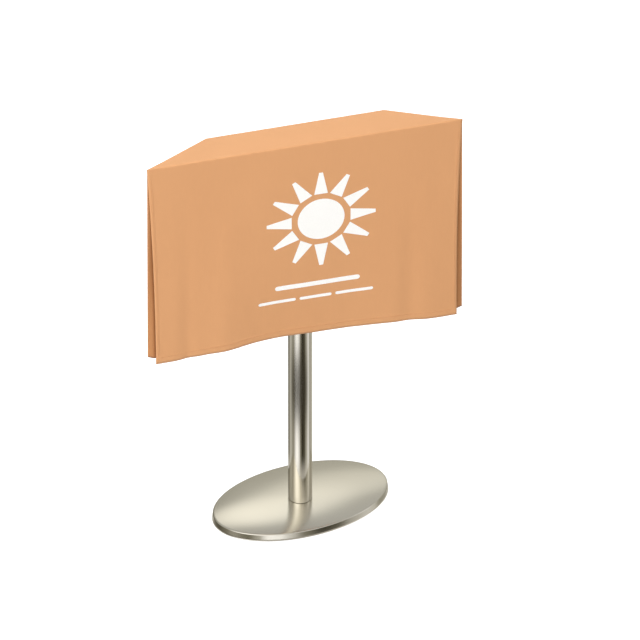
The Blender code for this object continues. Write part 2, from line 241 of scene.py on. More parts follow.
# Lights, which the metal doesn't see: azimuth, elevation, distance, size, power and colour
LIGHT_AIM_Z = 0.3
LIGHTS = {
    "key": (0, 48, 2.6, 1.4, 18.5, (1.0, 0.97, 0.93)),
    "side": (-62, 16, 2.4, 0.8, 15, (1.0, 0.98, 0.95)),
    "overhead": (-80, 68, 1.7, 1.4, 9, (0.88, 1.0, 1.14)),
    "behind": (172, 14, 2.4, 1.6, 42, (0.96, 1.0, 1.04)),
}

# Brightness that polished metal meets, by degrees to the right of the camera's own direction:
# in general, and in the belt just under the horizon, where the rim's reflections end
BANDS = (
    (-180, 0.46), (-140, 0.16), (-99, 0.58), (-74, 0.36), (-60, 0.38), (-47, 1.00), (-30, 1.45), (-14, 1.10),
    (6, 0.22), (20, 0.03), (40, 0.08), (62, 0.46), (84, 0.95), (107, 0.34), (126, 0.55), (180, 0.46),
)
RIM_BANDS = (
    (-180, 0.60), (-155, 0.55), (-130, 0.05), (-105, 0.11), (-73, 0.24), (-50, 0.40), (-22, 0.20), (-9, 0.50),
    (2, 1.35), (13, 1.30), (22, 0.80), (33, 0.22), (46, 0.02), (56, 0.08), (72, 0.60), (86, 0.74), (98, 0.62),
    (112, 0.30), (135, 0.14), (158, 0.42), (180, 0.60),
)
# The belt's lower and upper ends, each as the two heights between which it fades
BELT_LOWER = (-0.55, -0.44)
BELT_UPPER = (-0.12, 0.12)
# Powers that make a band's darker tones warmer, in green and in blue
BAND_WARMTH = (1.04, 1.22)
# Higher up the bands fade to a grey, which they would reach at UPPER_FADE
UPPER_GREY = 0.45
UPPER_FADE = 1.3
# Soft glows in the studio: heading, rise, reach and core in degrees, and level
GLOWS = (
    (-173, 42, 12, 1, 0.80),
    (172, 31, 13, 2, 0.32),
    (-10, 38, 60, 8, 0.55),
)


def smooth(low, high, x):
    """0 up to low, 1 from high on, and an even curve between them."""
    t = min(1.0, max(0.0, (x - low) / (high - low)))
    return t * t * (3 - 2 * t)


def lerp(a, b, t):
    return a + (b - a) * t


def hump(x, place, width):
    """A soft hump that is 1 at its place."""
    return math.exp(-(((x - place) / width) ** 2))


def direction(turn, rise):
    """Unit vector at a turn from -Y towards +X and a rise above the horizon, both in radians."""
    return Vector((math.sin(turn) * math.cos(rise), -math.cos(turn) * math.cos(rise), math.sin(rise)))


# ---------------------------------------------------------------- meshes


def add_object(name, data):
    obj = bpy.data.objects.new(name, data)
    bpy.context.scene.collection.objects.link(obj)
    return obj


def mesh_object(name, verts, faces, uvs=None):
    """An object from points and faces; uvs holds one flat cloth coordinate for each point."""
    mesh = bpy.data.meshes.new(name)
    mesh.from_pydata([tuple(v) for v in verts], [], faces)
    if uvs is not None:
        layer = mesh.uv_layers.new(name="flat")
        for loop in mesh.loops:
            layer.data[loop.index].uv = uvs[loop.vertex_index]
    mesh.validate()
    mesh.shade_smooth()
    mesh.set_sharp_from_angle(angle=SHARP_ANGLE)
    return add_object(name, mesh)


def bmesh_object(name, bm):
    mesh = bpy.data.meshes.new(name)
    bm.to_mesh(mesh)
    bm.free()
    mesh.shade_smooth()
    return add_object(name, mesh)


def quads(rows, around=False, closed=False):
    """Faces that join rows of points. around joins each row's ends, and closed the last row to the first."""
    count = len(rows[0])
    faces = []
    for r in range(len(rows) if closed else len(rows) - 1):
        s = (r + 1) % len(rows)
        for c in range(count if around else count - 1):
            n = (c + 1) % count
            faces.append((r * count + c, r * count + n, s * count + n, s * count + c))
    return faces


def sheet_object(name, rows, uv_rows, around=False):
    """A sheet from rows of points and the flat cloth coordinates of each row."""
    verts = [point for row in rows for point in row]
    uvs = [uv for row in uv_rows for uv in row]
    return mesh_object(name, verts, quads(rows, around), uvs)


def ring_solid(name, rings):
    """A closed solid with a hole, from rings of points."""
    verts = [point for ring in rings for point in ring]
    obj = mesh_object(name, verts, quads(rings, around=True, closed=True))
    bm = bmesh.new()
    bm.from_mesh(obj.data)
    bmesh.ops.recalc_face_normals(bm, faces=bm.faces)
    bm.to_mesh(obj.data)
    bm.free()
    return obj


def thicken(obj):
    """Gives a sheet the cloth's thickness, inwards from its outer face."""
    solid = obj.modifiers.new("cloth_thickness", "SOLIDIFY")
    solid.thickness = CLOTH
    solid.offset = -1.0
    solid.use_even_offset = False


def spaced(low, high, count, around, width):
    """Evenly spaced values, with a few more close to each value in around."""
    values = list(np.linspace(low, high, count))
    for centre in around:
        values += [centre + width * t for t in (-1.0, -0.5, 0.0, 0.5, 1.0)]
    return sorted({round(float(v), 7) for v in values if low <= v <= high})


# ---------------------------------------------------------------- the front panel and the top


def half_width(y):
    """Half the top's width at y."""
    return FRONT_HALF - (y - FRONT_Y) * SIDE_RUN


def flare_share(x):
    """How far the front panel swings forward and hangs down at x: 0 in the middle, 1 at the left corner."""
    share = smooth(*FLARE_ZONE, abs(x)) * (1.0 if x < 0 else RIGHT_FLARE)
    return share + SWELL_SHARE * hump(x, SWELL_PLACE, SWELL_WIDTH)


def pattern(across, down, seed):
    """Smooth noise between about -1 and 1."""
    return noise.noise(Vector((across, down, seed)))


def wave(x, z, seed):
    """Soft waves that run mostly up and down."""
    return pattern(x / WAVE_SIZE[0], z / WAVE_SIZE[1], seed)


def hem_ridge(band, distance):
    """Height of a hem's doubled cloth at a distance from the cloth's edge."""
    return HEM_RIDGE * (1 - smooth(band - HEM_EASE, band + HEM_EASE, distance))


def front_forward(x, v):
    """Distance of the front panel in front of the head's front plane, at x and at share v of the drop."""
    folds = sum(height * hump(x, place, width) for place, width, height in FRONT_FOLDS)
    forward = FLARE * flare_share(x) * smooth(0.03, 1.15, v) + LEAN * v
    forward += FRONT_WAVE * v**1.2 * wave(x, v * WAVE_DROP, 3.1) + v**1.4 * folds
    return forward + FRONT_RIPPLE * smooth(0.06, 0.2, v) * pattern(x / FRONT_RIPPLE_SIZE, v * 4, 7.7)


def front_hem_z(x):
    return CORNER_HEM_Z + CORNER_SAG * (1.0 - flare_share(x)) + FRONT_HEM_WAVE * wave(x, 0.0, 9.4)


def fold_radius(x):
    """Radius of the fold along the head's front edge: soft in the middle, sharp at the corners."""
    return lerp(FRONT_FOLD_R, CORNER_FOLD_R, smooth(0.9, 1.0, abs(x) / FRONT_HALF))


def tuck_share(v):
    """How far the panel's sides are drawn in at share v of the drop, 1 at the hem."""
    return 1 - (1 - v) ** 2.2


def front_point(x, v, ridge):
    """A point of the front panel: x is the flat distance from its middle, v runs from its fold to its hem."""
    edge = abs(x) / FRONT_HALF
    tucked = x - math.copysign(TUCK * tuck_share(v) * edge**6, x)
    top = TOP_Z - fold_radius(x)
    return Vector((tucked, FRONT_Y - front_forward(x, v) - ridge, lerp(top, front_hem_z(x), v)))


def front_drop(x):
    return TOP_Z - fold_radius(x) - front_hem_z(x)


def top_point(x, back):
    """A point of the top: back runs from 0 at the back edge to 1 where the front fold starts."""
    share = x / FRONT_HALF
    y = lerp(BACK_Y, FRONT_Y + fold_radius(x), back)
    reach = half_width(y)
    edge = min((1 - abs(share)) * reach, BACK_Y - y)
    roll = ROLL * (1 - smooth(0.0, ROLL_WIDTH, edge)) * smooth(0.0, ROLL_CLEAR, y - FRONT_Y - FRONT_FOLD_R)
    dimple = DIMPLE * abs(pattern(x / DIMPLE_SIZE[0], y / DIMPLE_SIZE[1], 1.3))
    return Vector((share * reach, y, TOP_Z - roll - dimple))


def fold_point(x, angle):
    """A point of the fold along the front edge, at an angle from level."""
    y = FRONT_Y + fold_radius(x) * (1 - math.sin(angle))
    z = TOP_Z - fold_radius(x) * (1 - math.cos(angle))
    return Vector((x / FRONT_HALF * half_width(y), y, z))


def build_canopy():
    """The top and the front of the cover, one sheet folded over the head's front edge."""
    side_bands = [SIDE_BAND - FRONT_HALF, FRONT_HALF - SIDE_BAND]
    columns = spaced(-FRONT_HALF, FRONT_HALF, CANOPY_COLUMNS, side_bands, HEM_DETAIL)
    middle_drop = front_drop(0.0)
    fold_start = DEPTH - FRONT_FOLD_R
    fold_end = fold_start + FRONT_FOLD_R * math.pi / 2
    rows, uv_rows = [], []
    for back in spaced(0.0, 1.0, TOP_ROWS, [0.02], 0.015):
        rows.append([top_point(x, back) for x in columns])
        uv_rows.append([(x, -back * fold_start) for x in columns])
    for step in range(1, 8):
        angle = math.radians(90 * step / 8)
        rows.append([fold_point(x, angle) for x in columns])
        uv_rows.append([(x, -fold_start - FRONT_FOLD_R * angle) for x in columns])
    for v in spaced(0.0, 1.0, FRONT_ROWS, [1.0 - HEM_BAND / middle_drop], HEM_DETAIL / middle_drop):
        row = []
        for x in columns:
            hem = hem_ridge(HEM_BAND, (1 - v) * front_drop(x))
            side = hem_ridge(SIDE_BAND, FRONT_HALF - abs(x)) * smooth(0.02, 0.1, v)
            row.append(front_point(x, v, max(hem, side)))
        rows.append(row)
        uv_rows.append([(x, -fold_end - v * front_drop(x)) for x in columns])
    sheet = sheet_object("cover_canopy", rows, uv_rows)
    sheet.data.flip_normals()
    thicken(sheet)
    return sheet


# ---------------------------------------------------------------- the sides and the back


def return_point(side, q, v):
    """Plan point of the cloth that turns in behind the front panel, at distance q from the corner's fold."""
    closed = 1 - tuck_share(v)
    start = Vector((FRONT_HALF - RETURN_START[0] * closed, FRONT_Y + RETURN_START[1] * closed))
    x = start.x - q
    behind = RETURN_BEHIND * lerp(0.25, 1.0, smooth(0.1, 0.6, v))
    hidden = FRONT_Y - front_forward(side * x, v) + behind
    y = lerp(start.y, hidden, smooth(0.0, RETURN_TURN, q))
    return Vector((side * x, min(y, start.y + RETURN_INSIDE * q / SIDE_RUN)))


def skirt_plan(t, v):
    """The skirt at flat distance t and share v of the drop, seen from above.

    Gives its place, its outward direction and its distance to the nearest fold.
    """
    first, second, third, fourth = SKIRT_FOLDS
    to_fold = min(abs(t - place) for place in SKIRT_FOLDS)
    if t < first:
        return return_point(-1, first - t, v), Vector((0.0, -1.0)), to_fold
    if t > fourth:
        return return_point(1, t - fourth, v), Vector((0.0, -1.0)), to_fold
    left_back = Vector((-BACK_HALF, BACK_Y))
    right_back = Vector((BACK_HALF, BACK_Y))
    if t < second:
        start, end, share = return_point(-1, 0.0, v), left_back, (t - first) / SKIRT_LENGTHS[1]
    elif t < third:
        start, end, share = left_back, right_back, (t - second) / SKIRT_LENGTHS[2]
    else:
        start, end, share = right_back, return_point(1, 0.0, v), (t - third) / SKIRT_LENGTHS[3]
    along = (end - start).normalized()
    return start.lerp(end, share), Vector((-along.y, along.x)), to_fold


def skirt_point(t, v, ridge):
    """A point of the skirt below the seam, at flat distance t and share v of the drop."""
    plan, outward, to_fold = skirt_plan(t, v)
    swing = 0.0
    if SKIRT_FOLDS[0] < t < SKIRT_FOLDS[3]:
        loose = smooth(0.0, SKIRT_SWING_CLEAR, to_fold)
        steady, varied = SKIRT_SWING
        swing = loose * v**1.3 * (steady + varied * pattern(t / SKIRT_SWING_SIZE, v * 0.8, 5.5))
        swing += loose * SKIRT_RIPPLE * pattern(t / SKIRT_RIPPLE_SIZE, v * 5, 2.5)
    place = plan + outward * (swing + ridge)
    z = lerp(TOP_Z - CLOTH - FOLD_R, HEM_Z, v) + v * SKIRT_HEM_WAVE * wave(t, 0.0, 6.1)
    return Vector((place.x, place.y, z))


def seam_point(t, inset, turn):
    """A point of the skirt's turn under the top's edge."""
    plan, outward, to_fold = skirt_plan(t, 0.0)
    place = plan - outward * (inset * (smooth(0.0, SEAM_CLEAR, to_fold) * 0.8 + 0.2))
    return Vector((place.x, place.y, TOP_Z - CLOTH - FOLD_R * (1 - math.cos(turn))))


def build_skirt():
    """The sides and back of the cover and the two returns behind the front panel, one sheet."""
    columns = spaced(0.0, sum(SKIRT_LENGTHS), SKIRT_COLUMNS, SKIRT_FOLDS, FOLD_DETAIL)
    rows, uv_rows = [], []
    for step in range(6):
        turn = math.radians(90 * step / 5)
        inset = FOLD_R * (1 - math.sin(turn)) + (SEAM if step == 0 else 0.0)
        rows.append([seam_point(t, inset, turn) for t in columns])
        uv_rows.append([(t, SEAM - step * 0.3 * MM) for t in columns])
    for v in spaced(0.012, 1.0, SKIRT_ROWS, [1 - HEM_BAND / DROP], HEM_DETAIL / DROP):
        ridge = hem_ridge(HEM_BAND, (1 - v) * DROP)
        rows.append([skirt_point(t, v, ridge) for t in columns])
        uv_rows.append([(t, -v * DROP) for t in columns])
    sheet = sheet_object("cover_skirt", rows, uv_rows)
    thicken(sheet)
    return sheet


# ---------------------------------------------------------------- stitches and print


def walk(line, pitch):
    """(point, direction) every pitch along a line of points."""
    found = []
    travelled = 0.0
    wanted = pitch
    for a, b in zip(line, line[1:]):
        length = (b - a).length
        while length > 0 and travelled + length >= wanted:
            share = (wanted - travelled) / length
            found.append((a.lerp(b, share), (b - a).normalized()))
            wanted += pitch
        travelled += length
    return found[:-1]


def add_stitch(bm, centre, along, outward):
    """One stitch: a short thread, thin at its ends, that bows a little off the cloth."""
    across = along.cross(outward).normalized()
    up = across.cross(along).normalized()
    rings = []
    for place, size in STITCH_SHAPE:
        middle = centre + along * (place * STITCH_LENGTH / 2) + up * (STITCH_R * 0.5 * (1 - place * place))
        ring = []
        for side in range(STITCH_SIDES):
            angle = math.tau * side / STITCH_SIDES
            spoke = across * math.cos(angle) + up * math.sin(angle)
            ring.append(bm.verts.new(middle + spoke * (STITCH_R * size)))
        rings.append(ring)
    for near, far in zip(rings, rings[1:]):
        for side in range(STITCH_SIDES):
            n = (side + 1) % STITCH_SIDES
            bm.faces.new((near[side], near[n], far[n], far[side]))
    bm.faces.new(rings[0][::-1])
    bm.faces.new(rings[-1])


def build_stitches(name, lines):
    """Thread along each (line of points, outward direction)."""
    bm = bmesh.new()
    for line, outward in lines:
        for centre, along in walk(line, STITCH_PITCH):
            add_stitch(bm, centre + outward * STITCH_LIFT, along, outward)
    bmesh.ops.recalc_face_normals(bm, faces=bm.faces)
    return bmesh_object(name, bm)


def build_front_stitches():
    """Stitches along the front panel's hem and up its two sides."""
    forward = Vector((0.0, -1.0, 0.0))
    inset = HEM_BAND - HEM_STITCH
    reach = FRONT_HALF - SIDE_BAND
    hem_places = [float(x) for x in np.linspace(-reach, reach, 260)]
    lines = [([front_point(x, 1 - inset / front_drop(x), HEM_RIDGE) for x in hem_places], forward)]
    for side in (-1, 1):
        x = side * (reach + SIDE_STITCH)
        shares = np.linspace(0.04, 1 - inset / front_drop(x), 160)
        lines.append(([front_point(x, float(v), HEM_RIDGE) for v in shares], forward))
    return build_stitches("front_stitching", lines)


def build_skirt_stitches():
    """Stitches along the hem of each side and of the back."""
    v = 1 - (HEM_BAND - HEM_STITCH) / DROP
    lines = []
    for low, high in zip(SKIRT_FOLDS, SKIRT_FOLDS[1:]):
        places = np.linspace(low + STITCH_CLEAR, high - STITCH_CLEAR, 160)
        line = [skirt_point(float(t), v, HEM_RIDGE) for t in places]
        outward = skirt_plan((low + high) / 2, v)[1]
        lines.append((line, Vector((outward.x, outward.y, 0.0))))
    return build_stitches("skirt_stitching", lines)


def sun_outlines(cx, cy, radius):
    """A plain sunburst: a disc and tapered rays, as outlines in the panel's flat coordinates."""
    disc = []
    for i in range(SUN_SIDES):
        a = math.tau * i / SUN_SIDES
        disc.append((cx + radius * SUN_DISC * math.cos(a), cy + radius * SUN_DISC * math.sin(a)))
    outlines = [disc]
    start, wide, narrow = radius * RAY_START, radius * RAY_WIDE, radius * RAY_NARROW
    corners = ((start, -wide), (radius, -narrow), (radius, narrow), (start, wide))
    for ray in range(SUN_RAYS):
        turn = math.tau * ray / SUN_RAYS
        c, s = math.cos(turn), math.sin(turn)
        outlines.append([(cx + out * c - aside * s, cy + out * s + aside * c) for out, aside in corners])
    return outlines


def bar_outline(cx, cy, length, height):
    """A bar with round ends."""
    r = height / 2
    points = []
    for end, sign in ((cx + length / 2 - r, 1), (cx - length / 2 + r, -1)):
        for i in range(9):
            angle = math.radians(-90 + 180 * i / 8)
            points.append((end + sign * r * math.cos(angle), cy + sign * r * math.sin(angle)))
    return points


def build_print():
    """White print on the front panel: shapes cut into small faces and laid on the cloth."""
    bm = bmesh.new()
    for outline in sun_outlines(*SUN) + [bar_outline(*bar) for bar in BARS]:
        bm.faces.new([bm.verts.new((x, down, 0.0)) for x, down in outline])
    extents = [(min(v.co[axis] for v in bm.verts), max(v.co[axis] for v in bm.verts)) for axis in (0, 1)]
    for axis, (low, high) in enumerate(extents):
        normal = [0.0, 0.0, 0.0]
        normal[axis] = 1.0
        for k in range(1, int((high - low) / PRINT_STEP) + 1):
            place = [0.0, 0.0, 0.0]
            place[axis] = low + k * PRINT_STEP
            everything = bm.verts[:] + bm.edges[:] + bm.faces[:]
            bmesh.ops.bisect_plane(bm, geom=everything, plane_co=place, plane_no=normal, dist=1e-7)
    for vert in bm.verts:
        x, down = vert.co.x, vert.co.y
        vert.co = front_point(x, down / front_drop(x), PRINT_LIFT)
    bmesh.ops.recalc_face_normals(bm, faces=bm.faces)
    for face in bm.faces:
        if face.normal.y > 0:
            face.normal_flip()
    return bmesh_object("front_print", bm)


# ---------------------------------------------------------------- metal


def circle(radius, z, count):
    turns = [math.tau * i / count for i in range(count)]
    return [Vector((radius * math.cos(a), radius * math.sin(a), z)) for a in turns]


def quarter(count):
    """A quarter circle from an end face to the side: each point's shares of the radius, in and onwards."""
    angles = [math.radians(90 * i / (count - 1)) for i in range(count)]
    return [(1 - math.sin(a), 1 - math.cos(a)) for a in angles]


def build_post():
    """The tube, with its cut ends eased."""
    outer = POST_HIGH.x
    low, high = POST_LOW.z, POST_HIGH.z
    profile = [(outer - POST_EASE * back, low + POST_EASE * up) for back, up in quarter(4)]
    profile += [(outer, lerp(low, high, float(share))) for share in np.linspace(0.02, 0.98, 13)]
    profile += [(outer - POST_EASE * back, high - POST_EASE * down) for back, down in quarter(4)[::-1]]
    profile += [(outer - WALL, high), (outer - WALL, low)]
    return ring_solid("post_tube", [circle(radius, z, POST_SIDES) for radius, z in profile])


def base_radii():
    """The oval's long and short radius, worked out from its box and its turn."""
    c2 = math.cos(BASE_TURN) ** 2
    s2 = math.sin(BASE_TURN) ** 2
    wide, deep = PLATE_HIGH.x**2, PLATE_HIGH.y**2
    long2 = (wide * c2 - deep * s2) / (c2 * c2 - s2 * s2)
    return math.sqrt(long2), math.sqrt(wide + deep - long2)


def oval_ring(long_r, short_r, z):
    c, s = math.cos(BASE_TURN), math.sin(BASE_TURN)
    ring = []
    for i in range(OVAL_SIDES):
        a = math.tau * i / OVAL_SIDES
        x, y = long_r * math.cos(a), short_r * math.sin(a)
        ring.append(Vector((x * c - y * s, x * s + y * c, z)))
    return ring


def build_plate():
    """The oval plate: a rim that leans in a little to a rounded upper edge, and a gently crowned top."""
    long_r, short_r = base_radii()
    low, high = PLATE_LOW.z, PLATE_HIGH.z
    shoulder = high - CROWN
    # Each ring of the outer face as its distance in from the oval and its height
    profile = [(LOWER_EDGE_R + UNDERSIDE, low)]
    profile += [(LOWER_EDGE_R * back, low + LOWER_EDGE_R * up) for back, up in quarter(5)]
    for share in (0.25, 0.5, 0.75):
        profile.append((RIM_DRAFT * share, lerp(low + LOWER_EDGE_R, shoulder - UPPER_EDGE_R, share)))
    for back, down in quarter(7)[::-1]:
        profile.append((RIM_DRAFT + UPPER_EDGE_R * back, shoulder - UPPER_EDGE_R * down))
    rings = [oval_ring(long_r - back, short_r - back, z) for back, z in profile]
    edge = RIM_DRAFT + UPPER_EDGE_R
    for share in np.linspace(0.985, 0.1, 22):
        s = float(share)
        radii = [lerp(BORE_R, radius - edge, s) for radius in (long_r, short_r)]
        rings.append(oval_ring(*radii, high - CROWN * s * s))
    ceiling = low + COUNTERBORE_DEPTH
    for radius, z in ((BORE_R, high), (BORE_R, ceiling), (COUNTERBORE_R, ceiling), (COUNTERBORE_R, low)):
        rings.append(oval_ring(radius, radius, z))
    return ring_solid("base_plate_nickel", rings)


# ---------------------------------------------------------------- materials


class Nodes:
    """A node tree, with short ways to add and join nodes."""

    def __init__(self, tree):
        self.tree = tree

    def add(self, kind, **values):
        node = self.tree.nodes.new(kind)
        for key, value in values.items():
            setattr(node, key, value)
        return node

    def plug(self, value, target):
        """Joins another socket to the target, or sets the target to a plain value."""
        if isinstance(value, bpy.types.NodeSocket):
            self.tree.links.new(value, target)
        else:
            target.default_value = value

    def math(self, operation, a, b=None):
        node = self.add("ShaderNodeMath", operation=operation)
        self.plug(a, node.inputs[0])
        if b is not None:
            self.plug(b, node.inputs[1])
        return node.outputs[0]

    def split(self, vector):
        """The X, Y and Z of a vector."""
        node = self.add("ShaderNodeSeparateXYZ")
        self.plug(vector, node.inputs["Vector"])
        return [node.outputs[axis] for axis in "XYZ"]

    def spread(self, value, low, high, source=(0.0, 1.0), curve="LINEAR"):
        """Turns a value's source range into low to high."""
        node = self.add("ShaderNodeMapRange", interpolation_type=curve)
        limits = zip(("From Min", "From Max", "To Min", "To Max"), (*source, low, high))
        for name, limit in limits:
            node.inputs[name].default_value = limit
        self.plug(value, node.inputs["Value"])
        return node.outputs["Result"]

    def ramp(self, value, stops, curve="LINEAR"):
        node = self.add("ShaderNodeValToRGB")
        node.color_ramp.interpolation = curve
        elements = node.color_ramp.elements
        while len(elements) < len(stops):
            elements.new(0.5)
        for element, (place, colour) in zip(elements, stops):
            element.position = place
            element.color = (*colour, 1.0)
        self.plug(value, node.inputs["Fac"])
        return node.outputs["Color"]

    def mix(self, factor, a, b, blend="MIX"):
        """Two colours, each a socket or four numbers, mixed by a factor."""
        node = self.add("ShaderNodeMix", data_type="RGBA", blend_type=blend)
        for name, value in (("Factor", factor), ("A", a), ("B", b)):
            self.plug(value, node.inputs[name])
        return node.outputs["Result"]


class Material(Nodes):
    """A material with its Principled shader."""

    def __init__(self, name):
        self.material = bpy.data.materials.new(name)
        self.material.use_nodes = True
        super().__init__(self.material.node_tree)
        self.shader = self.tree.nodes["Principled BSDF"]

    def set(self, **values):
        """Sets or joins the shader's inputs, named with _ for each space."""
        for key, value in values.items():
            self.plug(value, self.shader.inputs[key.replace("_", " ")])

    def place(self, scale=(1, 1, 1)):
        """The object's own coordinates, scaled."""
        mapping = self.add("ShaderNodeMapping")
        mapping.inputs["Scale"].default_value = scale
        self.plug(self.add("ShaderNodeTexCoord").outputs["Object"], mapping.inputs["Vector"])
        return mapping.outputs["Vector"]

    def flat_place(self):
        """X and Y of the flat cloth coordinates."""
        return self.split(self.add("ShaderNodeUVMap", uv_map="flat").outputs["UV"])[:2]

    def noise(self, vector, scale, detail, roughness=0.5):
        node = self.add("ShaderNodeTexNoise")
        for name, value in (("Scale", scale), ("Detail", detail), ("Roughness", roughness)):
            node.inputs[name].default_value = value
        self.plug(vector, node.inputs["Vector"])
        return node.outputs["Fac"]

    def blend(self, a, share_a, b, share_b):
        return self.math("ADD", self.math("MULTIPLY", a, share_a), self.math("MULTIPLY", b, share_b))

    def bump(self, height, distance, strength=1.0, normal=None):
        node = self.add("ShaderNodeBump")
        node.inputs["Distance"].default_value = distance
        node.inputs["Strength"].default_value = strength
        self.plug(height, node.inputs["Height"])
        if normal is not None:
            self.plug(normal, node.inputs["Normal"])
        return node.outputs["Normal"]


def paint_return_shade(n, tone, across, down, folds, dark):
    """Paints shade on cloth where it is turned in.

    Outside the two folds the lower part takes painted shade, a deeper tone in place of the front panel's
    shadow, and deep inside the creases painted shade from an occlusion node darkens it further.
    """
    past_left = n.spread(across, 1.0, 0.0, (folds[0] - FOLD_R, folds[0]))
    past_right = n.spread(across, 0.0, 1.0, (folds[1], folds[1] + FOLD_R))
    lower = n.spread(down, 1.0, 0.0, (-0.5 * DROP, -0.1 * DROP))
    # Painted shade: a fixed darker tint on the returns' lower part, in place of the front panel's shadow
    return_shade = n.math("MULTIPLY", n.math("ADD", past_left, past_right), lower)
    tone = n.mix(return_shade, tone, (*RETURN_SHADE_TINT, 1.0), "MULTIPLY")
    # Painted shade: an occlusion node darkens the colour in creases and where the returns meet the front
    # panel
    creases = n.add("ShaderNodeAmbientOcclusion", samples=8)
    creases.inputs["Distance"].default_value = CREASE_REACH
    crease_shade_colour = [c * tint for c, tint in zip(dark, CREASE_SHADE_TINT)]
    return n.mix(n.spread(creases.outputs["AO"], 0.0, 1.0, (0.45, 1.0)), (*crease_shade_colour, 1.0), tone)


def cloth_material(name, light, dark, folds=None):
    """Plain-weave cloth that follows the flat cloth, with painted shade outside its two folds, if any."""
    n = Material(name)
    across, down = n.flat_place()
    warp = n.math("SINE", n.math("MULTIPLY", across, math.pi / WEAVE_PITCH))
    weft = n.math("SINE", n.math("MULTIPLY", down, math.pi / WEAVE_PITCH))
    weave = n.math("MULTIPLY", warp, weft)
    slub = n.noise(n.place((1.0, 1.0, 0.16)), 420, 2.0)
    patches = n.noise(n.place((1.0, 1.0, 0.45)), 11, 2.0)
    tone = n.ramp(n.blend(patches, 0.75, slub, 0.25), ((0.32, dark), (0.68, light)))
    # Painted shade on the turned-in returns and in their creases
    if folds:
        tone = paint_return_shade(n, tone, across, down, folds, dark)
    relief = n.bump(slub, WEAVE_HEIGHT, 0.4, n.bump(weave, WEAVE_HEIGHT, 0.5))
    n.set(Base_Color=tone, Roughness=n.spread(slub, 0.82, 0.95), Normal=relief)
    n.set(Specular_IOR_Level=0.2, Sheen_Weight=0.12, Sheen_Roughness=0.5)
    return n.material


def thread_material(name, colour):
    n = Material(name)
    twist = n.noise(n.place(), 2600, 1.0)
    tone = n.ramp(twist, ((0.3, [c * 0.88 for c in colour]), (0.7, colour)))
    n.set(Base_Color=tone, Roughness=0.75, Normal=n.bump(twist, 0.05 * MM, 0.5), Sheen_Weight=0.1)
    return n.material


def grained_material(name, light, dark, rough, scale, detail, height, strength=0.5, **settings):
    """One fine grain that changes the tone, the polish and the surface a little."""
    n = Material(name)
    grain = n.noise(n.place(), scale, detail)
    tone = n.ramp(grain, ((0.3, dark), (0.7, light)))
    relief = n.bump(grain, height, strength)
    n.set(Base_Color=tone, Roughness=n.spread(grain, *rough), Normal=relief, **settings)
    return n.material


def metal_material(name, light, dark, rough, grain, stretch, patch_scale):
    """Plated metal: fine lines along one direction, and slow changes of tone and polish."""
    n = Material(name)
    lines = n.noise(n.place(stretch), grain, 3.0)
    patches = n.noise(n.place(), patch_scale, 2.0)
    tone = n.ramp(patches, ((0.3, dark), (0.7, light)))
    polish = n.spread(n.blend(lines, 0.5, patches, 0.5), *rough)
    n.set(Base_Color=tone, Metallic=1.0, Roughness=polish, Normal=n.bump(lines, 0.01 * MM, 0.25))
    return n.material


def turned_material(name, light, dark):
    """Satin plate finished on a turntable: fine rings, and a surface that falls away towards the rim."""
    n = Material(name)
    tangent = n.add("ShaderNodeTangent", direction_type="RADIAL", axis="Z")
    oval = n.add("ShaderNodeMapping", vector_type="TEXTURE")
    oval.inputs["Rotation"].default_value = (0.0, 0.0, BASE_TURN)
    oval.inputs["Scale"].default_value = (*base_radii(), 10.0)
    n.plug(n.add("ShaderNodeTexCoord").outputs["Object"], oval.inputs["Vector"])
    length = n.add("ShaderNodeVectorMath", operation="LENGTH")
    n.plug(oval.outputs["Vector"], length.inputs[0])
    share = length.outputs["Value"]
    square = n.math("MULTIPLY", share, share)
    fall = n.blend(square, -DOME, n.math("MULTIPLY", square, square), -DOME)
    along = n.add("ShaderNodeCombineXYZ")
    n.plug(share, along.inputs["X"])
    rings = n.noise(along.outputs["Vector"], 70, 3.0)
    patches = n.noise(n.place(), 9, 2.0)
    tone = n.ramp(n.blend(rings, 0.3, patches, 0.7), ((0.35, dark), (0.65, light)))
    n.set(Base_Color=tone, Metallic=1.0, Roughness=n.spread(rings, 0.19, 0.22), Normal=n.bump(fall, 1.0))
    n.set(Anisotropic=0.5, Anisotropic_Rotation=0.25, Tangent=tangent.outputs["Tangent"])
    return n.material


def wood_material(name, stretch):
    """Birch plywood: streaks along the grain and fine pores."""
    n = Material(name)
    streaks = n.noise(n.place(stretch), 160, 4.0, 0.6)
    pores = n.noise(n.place(stretch), 1400, 2.0)
    light, dark = BIRCH
    tone = n.ramp(n.blend(streaks, 0.7, pores, 0.3), ((0.3, dark), (0.7, light)))
    n.set(Base_Color=tone, Roughness=n.spread(pores, 0.5, 0.72), Normal=n.bump(pores, 0.06 * MM, 0.5))
    return n.material


def tape_material(name, colour, scale):
    """Hook or loop tape: a dense field of small tufts."""
    n = Material(name)
    tufts = n.add("ShaderNodeTexVoronoi")
    tufts.inputs["Scale"].default_value = scale
    n.plug(n.place(), tufts.inputs["Vector"])
    away = tufts.outputs["Distance"]
    tone = n.ramp(away, ((0.0, colour), (0.8, [c * 0.6 for c in colour])))
    n.set(Base_Color=tone, Roughness=n.spread(away, 0.85, 0.98), Normal=n.bump(away, 0.3 * MM, 0.7))
    n.set(Sheen_Weight=0.3)
    return n.material


# ---------------------------------------------------------------- studio


def build_camera():
    right = Vector((math.cos(VIEW_TURN), -math.sin(VIEW_TURN), 0.0))
    back = direction(-VIEW_TURN, VIEW_RISE)
    up = back.cross(right)
    data = bpy.data.cameras.new("camera")
    data.lens = CAMERA_LENS
    data.clip_end = CAMERA_CLIP
    camera = add_object("camera", data)
    aim = right * AIM_RIGHT + up * AIM_UP + back * AIM_BACK
    camera.location = aim + back * CAMERA_DISTANCE
    camera.rotation_mode = "QUATERNION"
    camera.rotation_quaternion = back.to_track_quat("Z", "Y")
    bpy.context.scene.camera = camera


